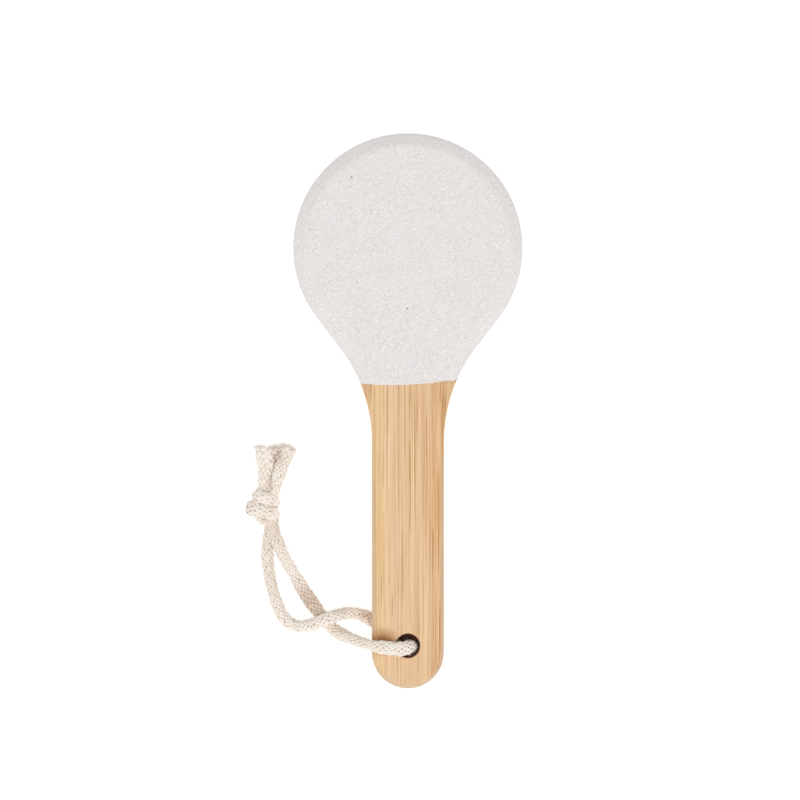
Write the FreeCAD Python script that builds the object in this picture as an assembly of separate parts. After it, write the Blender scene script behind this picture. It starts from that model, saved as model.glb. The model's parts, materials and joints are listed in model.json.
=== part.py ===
# Foot file: a paddle of glued bamboo strips, an abrasive coat over its round head,
# and a knotted cotton hanging loop through a hole in the handle.
# Millimetres. It lies on its back: +Z is the front face, +Y runs from the handle to the head.
import FreeCAD
import Part
import math
import os

os.makedirs("parts", exist_ok=True)
V = FreeCAD.Vector

# Paddle, plan
TOTAL_LENGTH = 187.7
HEAD_DIAMETER = 77.6
HANDLE_WIDTH = 24.3
NECK_ANGLE = 37.5          # lean of the shoulders from the handle's axis, degrees
NECK_RADIUS = 52.0         # hollow curve from the shoulders into the handle

# Paddle, thickness: the head is flat and the handle thins towards its end
HEAD_THICKNESS = 12.0
HANDLE_END_THICKNESS = 5.6

# Edges: one slope everywhere, wide round the head and narrow along the handle
BEVEL_ANGLE = 38.0
RIM_BEVEL_WIDTH = 4.0
HANDLE_BEVEL_WIDTH = 1.2
BEVEL_RUN = 15.0           # least length over which the handle's bevel widens up to the seam
RIM_SOFTENING = 2.4
HANDLE_SOFTENING = 1.1

# Lower edge of the coat: a shallow arc, a little askew
SEAM_FROM_HEAD = 46.15     # from the head's centre
SEAM_RADIUS = 138.0
SEAM_TILT = 2.6

# Abrasive coat and bamboo strips
COAT_THICKNESS = 1.0
COAT_BOND = 0.05
STRIP_WIDTH = 5.24
SLIVER_SHARE = 0.2         # an outermost strip narrower than this share isn't cut off

# Hole for the loop
HOLE_DIAMETER = 8.0
HOLE_FROM_END = 14.5
HOLE_ROUND = 0.5

# Cotton cord: round where it is free, pressed flat where the handle lies on it
CORD_DIAMETER = 4.2
CORD_FLAT_HEIGHT = 2.2
CORD_FLAT_WIDTH = 5.3
CORD_OFF_CENTRE = 1.0      # how far to the right the cord stands in its hole
CORD_CLEARANCE = 0.05
ARC_SHARE = 0.45           # share of the shorter run that a bend takes up

# Knot and cut ends
KNOT_LENGTH = 11.6
KNOT_LEAN = 17.0           # slant of the wraps, down to the right
TAIL_LENGTH = 14.8

# Places that follow from the sizes above
END_Y = -TOTAL_LENGTH / 2
HEAD_Y = TOTAL_LENGTH / 2 - HEAD_DIAMETER / 2
SEAM_Y = HEAD_Y - SEAM_FROM_HEAD
HOLE_Y = END_Y + HOLE_FROM_END
MID_Z = HEAD_THICKNESS / 2
TAPER = math.atan((HEAD_THICKNESS - HANDLE_END_THICKNESS) / 2 / (SEAM_Y - END_Y))
SLOPE = math.tan(math.radians(BEVEL_ANGLE))
REACH = 2 * TOTAL_LENGTH

# Upward part of a face's normal: more is a level face, less is an upright wall
LEVEL = 0.95
UPRIGHT = 0.05

# Cord routes, chosen by hand: points of the straight runs, joined by tangent arcs.
# Each place is measured from the hole's centre in plan and from the table in height.
FRONT_ROUTE = [
    (CORD_OFF_CENTRE, 0.0, 4.6),
    (CORD_OFF_CENTRE, 0.0, 8.8),
    (-2.2, -0.9, 11.75),
    (-7.0, -0.6, 11.65),
    (-13.2, 0.2, 11.75),
    (-18.8, 2.2, 8.3),
    (-24.6, 4.4, 3.6),
    (-30.0, 10.8, 2.3),
    (-34.4, 17.2, 2.15),
    (-39.4, 25.0, 2.15),
    (-43.0, 32.2, 2.3),
    (-44.7, 37.4, 4.3),
    (-46.2, 42.4, 6.6),
]
BACK_ROUTE = [
    (-18.0, 10.8, 3.1),
    (-21.2, 10.9, 4.9),
    (-25.4, 9.9, 7.4),
    (-31.2, 7.3, 7.4),
    (-36.8, 5.8, 4.2),
    (-41.8, 8.2, 2.25),
    (-44.8, 14.6, 2.15),
    (-46.9, 22.8, 2.15),
    (-47.6, 30.8, 2.15),
    (-48.6, 36.6, 2.5),
    (-49.2, 42.4, 3.3),
]
UNDER_HANDLE_EDGE = (-11.7, 8.4)   # where the flat stretch leaves the handle's shadow
KNOT_PLACE = (-47.8, 47.0, 4.9)
# Rings round the knot, from the strands to the cut ends: place along it, radius, bulge to the left
KNOT_RINGS = [
    (-8.2, 4.4, 0.0),
    (-5.4, 4.7, 0.3),
    (-2.7, 5.5, 1.0),
    (0.0, 4.8, 0.6),
    (2.6, 5.4, 0.5),
    (5.4, 4.7, 0.0),
    (8.2, 4.4, 0.0),
]
TAIL_STARTS = {"left": (-1.9, 4.2), "right": (2.4, 4.8)}
TAIL_LEANS = {"left": -3.0, "right": -20.0}
TAIL_DROP = 1.9


def place(point):
    """A point of a cord's route in the part's frame."""
    return V(point[0], HOLE_Y + point[1], point[2])


def polar(centre, radius, degrees):
    angle = math.radians(degrees)
    return V(centre.x + radius * math.cos(angle), centre.y + radius * math.sin(angle), centre.z)


def mirrored(point):
    return V(-point.x, point.y, point.z)


def line(start, end):
    return Part.LineSegment(start, end).toShape()


def arc(start, middle, end):
    return Part.Arc(start, middle, end).toShape()


def prism(wire, height):
    return Part.Face(wire).extrude(V(0, 0, height))


def neck_centre(level):
    """Centre of the right-hand neck curve, which touches the shoulder and the handle's side."""
    angle = math.radians(NECK_ANGLE)
    shoulder = polar(V(0, HEAD_Y, level), HEAD_DIAMETER / 2, -NECK_ANGLE)
    x = HANDLE_WIDTH / 2 + NECK_RADIUS
    rise = (math.cos(angle) * (x - shoulder.x) - NECK_RADIUS) / math.sin(angle)
    return V(x, shoulder.y + rise, level)


def paddle_outline(inset, level):
    """Closed plan outline of the whole paddle, moved in from its edge by inset."""
    head = V(0, HEAD_Y, level)
    head_radius = HEAD_DIAMETER / 2 - inset
    half_width = HANDLE_WIDTH / 2 - inset
    neck = neck_centre(level)
    neck_radius = NECK_RADIUS + inset
    end = V(0, END_Y + HANDLE_WIDTH / 2, level)
    shoulder = polar(head, head_radius, -NECK_ANGLE)
    neck_top = polar(neck, neck_radius, 180 - NECK_ANGLE)
    neck_middle = polar(neck, neck_radius, 180 - NECK_ANGLE / 2)
    neck_foot = polar(neck, neck_radius, 180)
    end_side = V(half_width, end.y, level)
    return Part.Wire([
        line(end_side, neck_foot),
        arc(neck_foot, neck_middle, neck_top),
        line(neck_top, shoulder),
        arc(shoulder, polar(head, head_radius, 90), mirrored(shoulder)),
        line(mirrored(shoulder), mirrored(neck_top)),
        arc(mirrored(neck_top), mirrored(neck_middle), mirrored(neck_foot)),
        line(mirrored(neck_foot), mirrored(end_side)),
        arc(mirrored(end_side), polar(end, half_width, -90), end_side),
    ])


def handle_crest(outward, level):
    """Inner line of the handle's bevel, which widens up the neck to meet the rim's bevel.

    Moved out by outward it is the same bevel lower down its slope.
    """
    half_width = HANDLE_WIDTH / 2 - HANDLE_BEVEL_WIDTH
    neck = neck_centre(level)
    foot_y = min(neck.y, SEAM_Y - BEVEL_RUN)
    up_the_neck = max(SEAM_Y - neck.y, 0)
    seam_angle = 180 - math.degrees(math.asin(up_the_neck / NECK_RADIUS))
    meeting = polar(neck, NECK_RADIUS + RIM_BEVEL_WIDTH, seam_angle)
    across = half_width - meeting.x
    up = SEAM_Y - foot_y
    radius = -(across ** 2 + up ** 2) / (2 * across)
    centre = V(half_width + radius, foot_y, level)
    past_seam = RIM_BEVEL_WIDTH + HANDLE_WIDTH / 2
    radius -= outward
    half_width += outward
    top_angle = 180 - math.degrees(math.asin((up + past_seam) / radius))
    top = polar(centre, radius, top_angle)
    middle = polar(centre, radius, (180 + top_angle) / 2)
    foot = V(half_width, foot_y, level)
    end = V(0, END_Y + HANDLE_WIDTH / 2, level)
    end_side = V(half_width, end.y, level)
    return Part.Wire([
        line(end_side, foot),
        arc(foot, middle, top),
        line(top, mirrored(top)),
        arc(mirrored(top), mirrored(middle), mirrored(foot)),
        line(mirrored(foot), mirrored(end_side)),
        arc(mirrored(end_side), polar(end, half_width, -90), end_side),
    ])


def seam_cylinder():
    """Everything on the head's side of the seam."""
    tilt = math.radians(SEAM_TILT)
    centre = V(-SEAM_RADIUS * math.sin(tilt), SEAM_Y + SEAM_RADIUS * math.cos(tilt), -REACH)
    return Part.makeCylinder(SEAM_RADIUS, 2 * REACH, centre)


def facing(face):
    """Upward part of a face's normal: 1 for a level face, 0 for an upright wall."""
    first_u, last_u, first_v, last_v = face.ParameterRange
    return abs(face.normalAt((first_u + last_u) / 2, (first_v + last_v) / 2).z)


def bevel_edges(shape, with_walls):
    """The upper edge of each sloping face and, with walls, its lower edge too, apart from cut ends."""
    bevels = [face for face in shape.Faces if UPRIGHT < facing(face) < LEVEL]
    found = []
    for bevel in bevels:
        for edge in bevel.Edges:
            sharers = [face for face in shape.Faces if any(edge.isSame(other) for other in face.Edges)]
            leans = [facing(face) for face in sharers if not face.isSame(bevel)]
            level = any(lean >= LEVEL for lean in leans)
            wall = any(lean <= UPRIGHT for lean in leans) and not on_seam(edge)
            if level or (wall and with_walls):
                found.append(edge)
    return found


def on_seam(edge):
    """Whether an edge lies in the curved cut at the seam."""
    tilt = math.radians(SEAM_TILT)
    centre_x = -SEAM_RADIUS * math.sin(tilt)
    centre_y = SEAM_Y + SEAM_RADIUS * math.cos(tilt)
    points = [edge.valueAt(edge.FirstParameter), edge.valueAt(edge.LastParameter)]
    away = [abs(math.hypot(p.x - centre_x, p.y - centre_y) - SEAM_RADIUS) for p in points]
    return max(away) < 1e-3


def head_half(inset, face_inset):
    """Front half of the head above the seam, with its bevelled rim, moved in by inset."""
    height = HEAD_THICKNESS / 2 - face_inset
    lean = math.tan(math.radians(BEVEL_ANGLE) / 2)
    bevel = RIM_BEVEL_WIDTH - inset * (1 - lean)
    spread = height / SLOPE
    block = prism(paddle_outline(inset, MID_Z), height)
    crest = paddle_outline(inset + bevel, MID_Z + height)
    skirt = paddle_outline(inset + bevel - spread, MID_Z)
    hill = Part.makeLoft([skirt, crest], True, True)
    return block.common(hill).common(seam_cylinder())


def back_of(shape):
    """The same piece on the back face."""
    return shape.mirror(V(0, 0, MID_Z), V(0, 0, 1))


def coat_half():
    """Front half of the abrasive coat: a dished shell over the face and down the rim."""
    outside = head_half(0, 0)
    outside = outside.makeFillet(RIM_SOFTENING, bevel_edges(outside, True))
    return outside.cut(head_half(COAT_THICKNESS, COAT_THICKNESS))


def face_cutter():
    """What is cut away above the handle's front face and outside its bevels."""
    depth = HEAD_THICKNESS
    past_seam = 4 * depth
    spread = depth / SLOPE
    hill = Part.makeLoft(
        [handle_crest(spread, HEAD_THICKNESS - depth), handle_crest(0, HEAD_THICKNESS)], True, True)
    block = Part.makeBox(REACH, REACH, 2 * depth, V(-REACH / 2, SEAM_Y + past_seam - REACH, 0))
    cutter = block.cut(hill)
    cutter.rotate(V(0, SEAM_Y, HEAD_THICKNESS), V(1, 0, 0), math.degrees(TAPER))
    return cutter


def handle_part():
    """Handle and neck below the seam, tapered, bevelled and drilled."""
    handle = prism(paddle_outline(0, 0), HEAD_THICKNESS).cut(seam_cylinder())
    cutter = face_cutter()
    handle = handle.cut(cutter).cut(back_of(cutter))
    handle = max(handle.Solids, key=lambda solid: solid.Volume)
    handle = handle.makeFillet(HANDLE_SOFTENING, bevel_edges(handle, False))
    drill = Part.makeCylinder(HOLE_DIAMETER / 2, HEAD_THICKNESS, V(0, HOLE_Y, 0))
    handle = handle.cut(drill)
    mouths = []
    for edge in handle.Edges:
        box = edge.BoundBox
        round_hole = abs(box.XLength - HOLE_DIAMETER) < 0.01
        centred = abs(box.Center.x) < 0.01 and abs(box.Center.y - HOLE_Y) < 0.01
        if round_hole and centred:
            mouths.append(edge)
    return handle.makeFillet(HOLE_ROUND, mouths)


def bamboo_board():
    """The whole board: the handle and, set back inside the coat, the head's core."""
    core = head_half(COAT_THICKNESS + COAT_BOND, COAT_THICKNESS)
    core = core.fuse(back_of(core))
    return handle_part().fuse(core).removeSplitter()


def bamboo_strips():
    """The board cut along its glue lines: a middle strip, and strips numbered out from it."""
    board = bamboo_board()
    core_radius = HEAD_DIAMETER / 2 - COAT_THICKNESS
    each_side = math.ceil((core_radius - STRIP_WIDTH / 2) / STRIP_WIDTH - SLIVER_SHARE)
    strips = {}
    for number in range(-each_side, each_side + 1):
        left = (number - 0.5) * STRIP_WIDTH
        width = STRIP_WIDTH
        if abs(number) == each_side:
            width = REACH
        if number == -each_side:
            left = left + STRIP_WIDTH - width
        slab = Part.makeBox(width, 2 * REACH, HEAD_THICKNESS, V(left, -REACH, 0))
        side = "left" if number < 0 else "right"
        name = "bamboo_strip_centre" if number == 0 else f"bamboo_strip_{side}_{abs(number)}"
        strips[name] = board.common(slab)
    return strips


def cord_path(name, points):
    """Straight runs joined by the largest tangent arcs that the runs leave room for."""
    edges = []
    radii = []
    start = points[0]
    for before, corner, after in zip(points, points[1:], points[2:]):
        run_in = corner - before
        run_out = after - corner
        turn = run_in.getAngle(run_out)
        setback = ARC_SHARE * min(run_in.Length, run_out.Length)
        radii.append(setback / math.tan(turn / 2))
        into = V(run_in).normalize()
        out = V(run_out).normalize()
        arc_start = corner - into * setback
        arc_end = corner + out * setback
        bisector = (out - into).normalize()
        sag = radii[-1] * (1 / math.cos(turn / 2) - 1)
        edges.append(line(start, arc_start))
        edges.append(arc(arc_start, corner + bisector * sag, arc_end))
        start = arc_end
    edges.append(line(start, points[-1]))
    print(name, "radii in mm:", " ".join(f"{radius:.1f}" for radius in radii))
    return Part.Wire(edges)


def cord_tube(name, route):
    """A round tube along a route and up to the knot's seat.

    Its volume before that cut is compared with its section times its length.
    """
    path = cord_path(name, [place(point) for point in route])
    first = path.Edges[0]
    start = first.valueAt(first.FirstParameter)
    along = first.tangentAt(first.FirstParameter)
    ring = Part.Wire([Part.makeCircle(CORD_DIAMETER / 2, start, along)])
    tube = path.makePipeShell([ring], True, False)
    expected = math.pi * CORD_DIAMETER ** 2 / 4 * path.Length
    print(f"{name} length {path.Length:.1f} mm, volume {tube.Volume / expected:.4f} of section times length")
    return tube.cut(knot_side_of_seat(-1))


def stadium(centre, along, width, height):
    """An upright flat-sided oval across a level direction, as two lines and two half rounds."""
    side = V(-along.y, along.x, 0).normalize()
    half_flat = side * ((width - height) / 2)
    up = V(0, 0, height / 2)
    far = side * (width / 2)
    return Part.Wire([
        line(centre - half_flat + up, centre + half_flat + up),
        arc(centre + half_flat + up, centre + far, centre + half_flat - up),
        line(centre + half_flat - up, centre - half_flat - up),
        arc(centre - half_flat - up, centre - far, centre - half_flat + up),
    ])


def quartered_circle(centre, along, radius):
    """A circle across a direction, as four arcs that pair with the stadium's sides."""
    side = V(-along.y, along.x, 0).normalize()
    up = V(along).normalize().cross(side) * -1
    if up.z < 0:
        up = up * -1

    def on(degrees):
        angle = math.radians(degrees)
        return centre + side * (radius * math.cos(angle)) + up * (radius * math.sin(angle))

    return Part.Wire([
        arc(on(135), on(90), on(45)),
        arc(on(45), on(0), on(-45)),
        arc(on(-45), on(-90), on(-135)),
        arc(on(-135), on(-180), on(-225)),
    ])


def cord_in_hole():
    """The stretch through the hole, then flat under the handle and round again beside it."""
    middle_z = CORD_FLAT_HEIGHT / 2 + CORD_CLEARANCE
    foot = place((CORD_OFF_CENTRE, 0, middle_z))
    edge = place(UNDER_HANDLE_EDGE + (middle_z,))
    along = (edge - foot).normalize()
    heel = foot - along * (CORD_DIAMETER / 2)
    flat = Part.Face(stadium(heel, along, CORD_FLAT_WIDTH, CORD_FLAT_HEIGHT)).extrude(edge - heel)
    back_start = place(BACK_ROUTE[0])
    back_along = place(BACK_ROUTE[1]) - back_start
    swell = Part.makeLoft([
        stadium(edge, along, CORD_FLAT_WIDTH, CORD_FLAT_HEIGHT),
        quartered_circle(back_start, back_along, CORD_DIAMETER / 2),
    ], True, True)
    top = place(FRONT_ROUTE[0])
    post = Part.makeCylinder(CORD_DIAMETER / 2, top.z - middle_z, foot)
    return flat.fuse(swell).fuse(post).removeSplitter()


def knot_axis():
    """The knot's direction, from the two strands to the two cut ends."""
    last_front = place(FRONT_ROUTE[-1])
    last_back = place(BACK_ROUTE[-1])
    entry = (last_front + last_back) * 0.5
    centre = place(KNOT_PLACE)
    return V(centre.x - entry.x, centre.y - entry.y, 0).normalize()


def knot_side_of_seat(way):
    """Everything on the knot's side of a seat: 1 for the cut ends' seat, -1 for the strands'."""
    axis = knot_axis() * way
    block = Part.makeBox(REACH, REACH, REACH, V(-REACH / 2, 0, -REACH / 2))
    seat = place(KNOT_PLACE) + axis * (KNOT_LENGTH / 2)
    block.Placement = FreeCAD.Placement(seat, FreeCAD.Rotation(V(0, 1, 0), axis * -1))
    return block


def cord_knot():
    """Overhand knot: two slanting wraps that swell between a flat seat at each end."""
    centre = place(KNOT_PLACE)
    axis = knot_axis()
    right = V(axis.y, -axis.x, 0)
    lean = math.radians(KNOT_LEAN)
    tilted = axis * math.cos(lean) + right * math.sin(lean)
    rings = []
    for along, radius, bulge in KNOT_RINGS:
        middle = centre + axis * along - right * bulge
        rings.append(Part.Wire([Part.makeCircle(radius, middle, tilted)]))
    table = Part.makeBox(REACH, REACH, REACH, V(-REACH / 2, -REACH / 2, CORD_CLEARANCE))
    knot = Part.makeLoft(rings, True)
    return knot.common(table).common(knot_side_of_seat(1)).common(knot_side_of_seat(-1))


def cord_tail(side):
    """One cut end of the cord, from the knot's seat down to the table."""
    axis = knot_axis()
    across = V(axis.y, -axis.x, 0)
    offset, height = TAIL_STARTS[side]
    start = place(KNOT_PLACE) + axis * (KNOT_LENGTH / 2) + across * offset
    start.z = height
    direction = FreeCAD.Rotation(V(0, 0, 1), TAIL_LEANS[side]).multVec(axis) * TAIL_LENGTH
    direction.z = -TAIL_DROP
    inside = V(direction).normalize() * CORD_DIAMETER
    tail = Part.makeCylinder(
        CORD_DIAMETER / 2, direction.Length + CORD_DIAMETER, start - inside, direction)
    return tail.cut(knot_side_of_seat(1))


pieces = bamboo_strips()
front_coat = coat_half()
pieces["abrasive_coat_front"] = front_coat
pieces["abrasive_coat_back"] = back_of(front_coat)
pieces["cord_front_strand"] = cord_tube("cord_front_strand", FRONT_ROUTE)
pieces["cord_in_hole"] = cord_in_hole()
pieces["cord_back_strand"] = cord_tube("cord_back_strand", BACK_ROUTE)
pieces["cord_knot"] = cord_knot()
for tail_side in TAIL_STARTS:
    pieces[f"cord_tail_{tail_side}"] = cord_tail(tail_side)

for node, shape in pieces.items():
    print(f"{node}: {len(shape.Solids)} solid, {shape.Volume:.0f} mm3, valid {shape.isValid()}")
    shape.exportStep(f"parts/{node}.step")
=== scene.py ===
# %% [markdown]
# # A bamboo foot file
# A paddle of glued bamboo strips lies on its back. An abrasive coat covers its round head, and a braided
# cotton cord goes through a hole in the handle and is knotted into a hanging loop. The solid model comes
# first, as a fixed frame: everything below is dressed around it and stays in its place. Lengths are metres.

# %% Load the solid model
import json
import math
from types import SimpleNamespace

import bpy
import numpy as np
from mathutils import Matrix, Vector


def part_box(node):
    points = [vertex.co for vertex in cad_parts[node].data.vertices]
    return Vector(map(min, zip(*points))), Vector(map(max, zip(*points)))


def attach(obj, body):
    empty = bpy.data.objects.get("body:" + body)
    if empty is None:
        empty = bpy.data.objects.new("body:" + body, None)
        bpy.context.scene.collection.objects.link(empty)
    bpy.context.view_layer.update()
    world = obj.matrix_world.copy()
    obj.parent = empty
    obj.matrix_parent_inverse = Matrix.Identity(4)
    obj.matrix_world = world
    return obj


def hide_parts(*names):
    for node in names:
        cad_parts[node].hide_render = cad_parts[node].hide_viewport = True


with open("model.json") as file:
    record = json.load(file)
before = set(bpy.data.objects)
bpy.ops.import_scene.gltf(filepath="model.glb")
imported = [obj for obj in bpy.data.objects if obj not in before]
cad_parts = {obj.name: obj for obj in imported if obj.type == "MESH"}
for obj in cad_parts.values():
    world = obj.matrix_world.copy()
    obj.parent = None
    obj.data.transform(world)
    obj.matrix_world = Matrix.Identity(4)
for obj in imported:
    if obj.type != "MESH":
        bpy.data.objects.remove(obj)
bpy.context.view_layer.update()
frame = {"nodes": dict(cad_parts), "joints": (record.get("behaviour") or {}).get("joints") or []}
MM = 0.001
HOLE = Vector(frame["joints"][0]["pos_m"])
print("pieces in the frame:", len(frame["nodes"]), "hole axis at", tuple(HOLE))

# %% [markdown]
# ## Camera
# The picture is a catalogue view from straight above. A short lens would show the rim's sides, so a long
# one keeps the outline almost free of perspective. Its height follows from how wide the view is at the
# middle of the board.

# %% Camera straight above
VIEW_WIDTH = 270.7 * MM
VIEW_CENTRE = (-2.66 * MM, 3.70 * MM)
LENS = 300.0
SENSOR = 36.0
NEAREST = 0.01
FARTHEST = 50.0
board_middle = (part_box("abrasive_coat_front")[1].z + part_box("abrasive_coat_back")[0].z) / 2

camera_data = bpy.data.cameras.new("catalogue_camera")
camera_data.lens = LENS
camera_data.sensor_width = SENSOR
camera_data.clip_start = NEAREST
camera_data.clip_end = FARTHEST
camera = bpy.data.objects.new("catalogue_camera", camera_data)
camera.location = (*VIEW_CENTRE, board_middle + VIEW_WIDTH * LENS / SENSOR)
bpy.context.collection.objects.link(camera)
bpy.context.scene.camera = camera
print("camera height", round(camera.location.z, 4))

# %% [markdown]
# ## The cord's way
# The cord is limp: it lies on the table, and it rises only where it leaves the hole, crosses itself or goes
# into the knot. Its line could be a chain of straight runs, but cotton has no corners. A NURBS curve takes
# the same points as handles and flows between them. They are in mm, places from the hole and heights from
# the table. The back strand starts up inside the hole, so that no cut end shows from below.

# %% Points of the two strands
FRONT_ROUTE = [
    (1.4, 0.1, 1.8), (1.4, 0.1, 4.6), (1.1, -0.2, 9.0), (-2.2, -1.2, 11.3),
    (-7.0, -0.7, 11.2), (-13.2, 0.2, 11.0), (-18.8, 2.2, 8.3), (-24.6, 4.4, 3.6),
    (-30.0, 10.8, 2.3), (-34.8, 17.4, 2.1), (-38.9, 24.6, 2.1), (-42.2, 30.0, 2.3),
    (-43.7, 34.0, 3.6), (-45.0, 37.2, 4.9), (-45.8, 41.2, 5.2), (-46.6, 46.6, 4.4),
]
BACK_ROUTE = [
    (1.5, 0.0, 6.4), (2.6, -0.8, 3.6), (1.8, -0.2, 1.3), (-3.0, 2.6, 1.2),
    (-7.8, 5.8, 1.2), (-12.4, 8.8, 1.3), (-17.0, 10.7, 2.6), (-21.2, 10.9, 4.9),
    (-25.4, 9.9, 7.4), (-31.2, 7.3, 7.4), (-36.8, 5.8, 4.2), (-41.8, 8.2, 2.2),
    (-44.8, 14.6, 2.1), (-46.9, 22.8, 2.1), (-47.7, 30.6, 2.1), (-47.7, 34.0, 2.1),
    (-46.9, 37.2, 2.2), (-46.4, 41.2, 2.2), (-47.4, 46.6, 3.0),
]
print("handles:", len(FRONT_ROUTE), "in front,", len(BACK_ROUTE), "at the back")

# %% A smooth line through the points
LINE_STEPS = 24


def smooth_line(name, route):
    """Points along a NURBS curve that has the route's points as its handles."""
    curve = bpy.data.curves.new(name, "CURVE")
    curve.dimensions = "3D"
    curve.resolution_u = LINE_STEPS
    spline = curve.splines.new("NURBS")
    spline.points.add(len(route) - 1)
    for handle, (x, y, z) in zip(spline.points, route):
        handle.co = (HOLE.x + x * MM, HOLE.y + y * MM, z * MM, 1.0)
    spline.order_u = 3
    spline.use_endpoint_u = True
    holder = bpy.data.objects.new(name, curve)
    line = bpy.data.meshes.new_from_object(holder)
    points = np.array([vertex.co for vertex in line.vertices], float)
    bpy.data.objects.remove(holder)
    bpy.data.curves.remove(curve)
    bpy.data.meshes.remove(line)
    return points


front_line = smooth_line("front_way", FRONT_ROUTE)
back_line = smooth_line("back_way", BACK_ROUTE)
print("points on the lines:", len(front_line), len(back_line))

# %% [markdown]
# ## Walking along a line
# A braid needs to know, all along its line, where it is, which way it goes, and what is beside and above
# it. Blender could give tilt values, but they spin near an upright stretch. Here the sideways direction is
# carried from step to step and kept level, so it turns only as much as the line does.

# %% Even steps with a sideways and an upward direction
STEP = 0.17 * MM
LEVEL_ENOUGH = 0.5
CARRY = 4.0


def walk(points):
    """Even steps along a line, with directions along, beside and above it at each step."""
    runs = np.linalg.norm(np.diff(points, axis=0), axis=1)
    reach = np.concatenate([[0.0], np.cumsum(runs)])
    count = max(2, round(reach[-1] / STEP))
    along = np.linspace(0.0, reach[-1], count + 1)
    place = np.stack([np.interp(along, reach, points[:, axis]) for axis in range(3)], axis=1)
    ahead = np.gradient(place, axis=0)
    ahead /= np.linalg.norm(ahead, axis=1)[:, None]
    beside = np.zeros_like(place)
    level = [math.hypot(step[0], step[1]) for step in ahead]
    start = int(np.argmax(np.array(level) > LEVEL_ENOUGH))
    order = list(range(start, count + 1)) + list(range(start - 1, -1, -1))
    for index in order:
        step = ahead[index]
        wish = np.array([step[1], -step[0], 0.0])
        if index != start:
            neighbour = index - 1 if index > start else index + 1
            wish = wish + (1.0 - level[index]) * CARRY * beside[neighbour]
        wish -= step * wish.dot(step)
        beside[index] = wish / np.linalg.norm(wish)
    above = np.cross(beside, ahead)
    return SimpleNamespace(along=along, place=place, ahead=ahead, beside=beside, above=above)


front_walk = walk(front_line)
back_walk = walk(back_line)
print("front strand", round(front_walk.along[-1], 4), "back strand", round(back_walk.along[-1], 4))

# %% [markdown]
# ## A mesh of many tubes
# Yarns, core and loose fibres are thin tubes, hundreds of them in one piece of cord. Each could be a curve
# with a bevel, but a curve can't carry the values that the finish needs. Here a weaver gathers the rings of
# every tube and makes one mesh of them. Each vertex keeps its place along and round its yarn, how deep it
# lies in the braid, and how much painted shade the spots give it.


# %% Tubes gathered into one mesh
def tube_faces(rings, sides, first):
    """Quads round a tube, numbered from its first vertex, and a face at each end."""
    ring, side = np.meshgrid(np.arange(rings - 1), np.arange(sides), indexing="ij")
    beyond = (side + 1) % sides
    corners = [ring * sides + side, ring * sides + beyond,
               (ring + 1) * sides + beyond, (ring + 1) * sides + side]
    quads = np.stack(corners, axis=-1).reshape(-1, 4) + first
    faces = [tuple(quad) for quad in quads.tolist()]
    faces.append(tuple(range(first + sides - 1, first - 1, -1)))
    last = first + (rings - 1) * sides
    faces.append(tuple(range(last, last + sides)))
    return faces


class Weaver:
    """Gathers tubes into one mesh, with values for every vertex."""

    def __init__(self):
        self.corners, self.faces, self.thread, self.depth, self.spot_shade = [], [], [], [], []
        self.count = 0

    def tube(self, rings, along, number, depth):
        """Adds one tube, which its number sets apart from the others."""
        total, sides = rings.shape[:2]
        self.faces += tube_faces(total, sides, self.count)
        self.corners.append(rings.reshape(-1, 3))
        turn = number + np.tile(np.arange(sides) / sides, total)
        self.thread.append(np.stack([np.repeat(along, sides), turn], axis=1))
        self.depth.append(np.array(depth, float).reshape(-1))
        self.spot_shade.append(np.zeros(total * sides))
        self.count += total * sides

    def darken_spot(self, x, y, wide, long, amount):
        """Paints shade on the cord softly round a place in plan, measured in mm from the hole."""
        centre = np.array([HOLE.x + x * MM, HOLE.y + y * MM])
        for corners, spot_shade in zip(self.corners, self.spot_shade):
            away = np.linalg.norm((corners[:, :2] - centre) / (wide * MM, long * MM), axis=1)
            spot_shade += amount * np.exp(-away ** 2)

    def mesh(self, name, spots):
        """Paints shade on the spots and makes the piece."""
        for spot in spots:
            self.darken_spot(*spot)
        data = bpy.data.meshes.new(name)
        data.from_pydata(np.concatenate(self.corners).tolist(), [], self.faces)
        thread = np.concatenate(self.thread)
        corner_vertex = np.zeros(len(data.loops), int)
        data.loops.foreach_get("vertex_index", corner_vertex)
        data.uv_layers.new(name="thread").uv.foreach_set("vector", thread[corner_vertex].reshape(-1))
        for attribute, values in (("depth", self.depth), ("spot_shade", self.spot_shade)):
            layer = data.attributes.new(attribute, "FLOAT", "POINT")
            layer.data.foreach_set("value", np.clip(np.concatenate(values), 0.0, 1.0))
        data.polygons.foreach_set("use_smooth", np.ones(len(data.polygons), bool))
        data.update()
        piece = bpy.data.objects.new(name, data)
        bpy.context.collection.objects.link(piece)
        print(name, "faces", len(data.polygons))
        return piece


print("faces of a tube with 3 rings and 4 sides:", len(tube_faces(3, 4, 0)))

# %% [markdown]
# ## Braiding
# The cord is a tubular braid: eight yarns wind one way, eight the other, each over one and under the next.
# A bump pattern on a smooth tube would lie flat in the outline. Here each yarn is its own oval tube that
# rises and dips as it crosses the others, so the diamonds and the small gaps between them are real.
# Hand-made unevenness comes from slow waves with seeded phases: the yarns wander, and the cord swells and
# narrows.

# %% One yarn
CORD_WIDTH = 4.2 * MM
CARRIERS = 8
BRAID_PITCH = 16.0 * MM
YARN_FILL = 0.98
YARN_THICKNESS = 0.70 * MM
YARN_RISE = 0.32 * MM
RISE_SHARE = 0.85
YARN_SIDES = 8
YARN_TURN = math.tau * np.arange(YARN_SIDES) / YARN_SIDES
PLIES = 3
PLY_DEPTH = 0.09
PLY_TWIST = math.tau / (3.4 * MM)
BRAID_RADIUS = CORD_WIDTH / 2 - YARN_RISE * RISE_SHARE - YARN_THICKNESS / 2
WANDER = 0.10
WAVES = [3.1 * MM, 7.7 * MM, 17.0 * MM]
WAVE_SIZE = 1.4


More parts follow.
